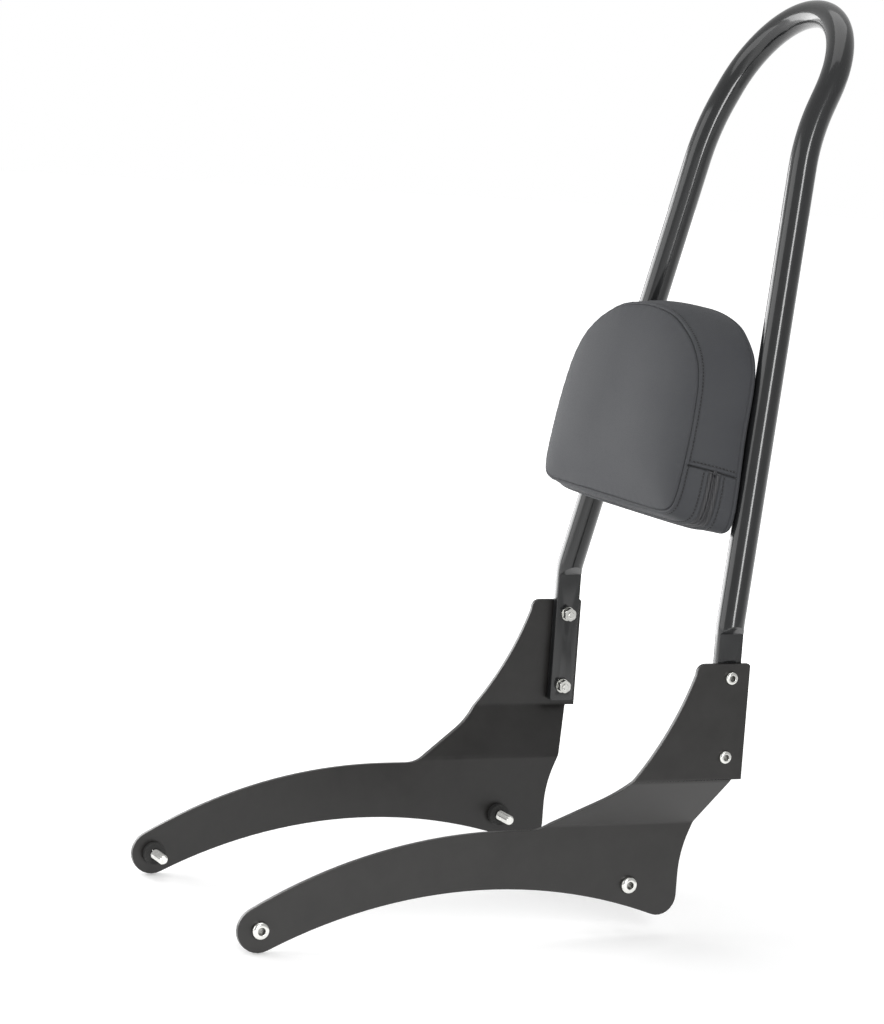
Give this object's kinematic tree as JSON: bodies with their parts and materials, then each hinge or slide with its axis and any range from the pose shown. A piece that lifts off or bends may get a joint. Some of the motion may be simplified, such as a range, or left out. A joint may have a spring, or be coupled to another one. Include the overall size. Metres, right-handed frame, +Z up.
{
  "type": "motorcycle sissy bar",
  "caption": "Tall bent-bar backrest hoop for a motorcycle passenger, bolted between two folded side plates, with a padded cushion and screws for the fender rails.",
  "frame": {"origin": "on the centre plane, in the middle of the four fender screws, at mount fender_saddle", "axes": "+X the motorcycle's left side, +Y rearward, +Z up, square to the folds of the side plates"},
  "size_m": [0.2994, 0.5081, 0.7315],
  "materials": {
    "hoop_paint": "semi-gloss black powder coat",
    "plate_paint": "satin black powder coat",
    "screw_steel": "bright zinc-plated steel",
    "tee_nut_steel": "zinc-plated pressed steel",
    "spacer_rubber": "matte black rubber",
    "pad_vinyl": "matte grey-black vinyl with a fine grain",
    "zip_tape": "black woven zip tape and coil",
    "pad_foam": "open-cell foam",
    "pad_board": "plain plywood"
  },
  "bodies": {
    "root": {"hoop": "hoop_paint", "carrier_plate": "hoop_paint", "side_plate_left": "plate_paint", "side_plate_right": "plate_paint", "hoop_screw_left_upper": "screw_steel", "hoop_screw_left_lower": "screw_steel", "hoop_screw_right_upper": "screw_steel", "hoop_screw_right_lower": "screw_steel", "hoop_washer_left_upper": "screw_steel", "hoop_washer_left_lower": "screw_steel", "hoop_washer_right_upper": "screw_steel", "hoop_washer_right_lower": "screw_steel", "hoop_nut_left_upper": "screw_steel", "hoop_nut_left_lower": "screw_steel", "hoop_nut_right_upper": "screw_steel", "hoop_nut_right_lower": "screw_steel", "fender_screw_left_front": "screw_steel", "fender_screw_left_rear": "screw_steel", "fender_screw_right_front": "screw_steel", "fender_screw_right_rear": "screw_steel", "fender_spacer_left_front": "spacer_rubber", "fender_spacer_left_rear": "spacer_rubber", "fender_spacer_right_front": "spacer_rubber", "fender_spacer_right_rear": "spacer_rubber", "pad_cover": "pad_vinyl", "pad_zip": "zip_tape", "pad_foam": "pad_foam", "pad_board": "pad_board", "pad_screw_left_upper": "screw_steel", "pad_screw_left_lower": "screw_steel", "pad_screw_right_upper": "screw_steel", "pad_screw_right_lower": "screw_steel", "pad_washer_left_upper": "screw_steel", "pad_washer_left_lower": "screw_steel", "pad_washer_right_upper": "screw_steel", "pad_washer_right_lower": "screw_steel", "tee_nut_left_upper": "tee_nut_steel", "tee_nut_left_lower": "tee_nut_steel", "tee_nut_right_upper": "tee_nut_steel", "tee_nut_right_lower": "tee_nut_steel"}
  },
  "joints": []
}
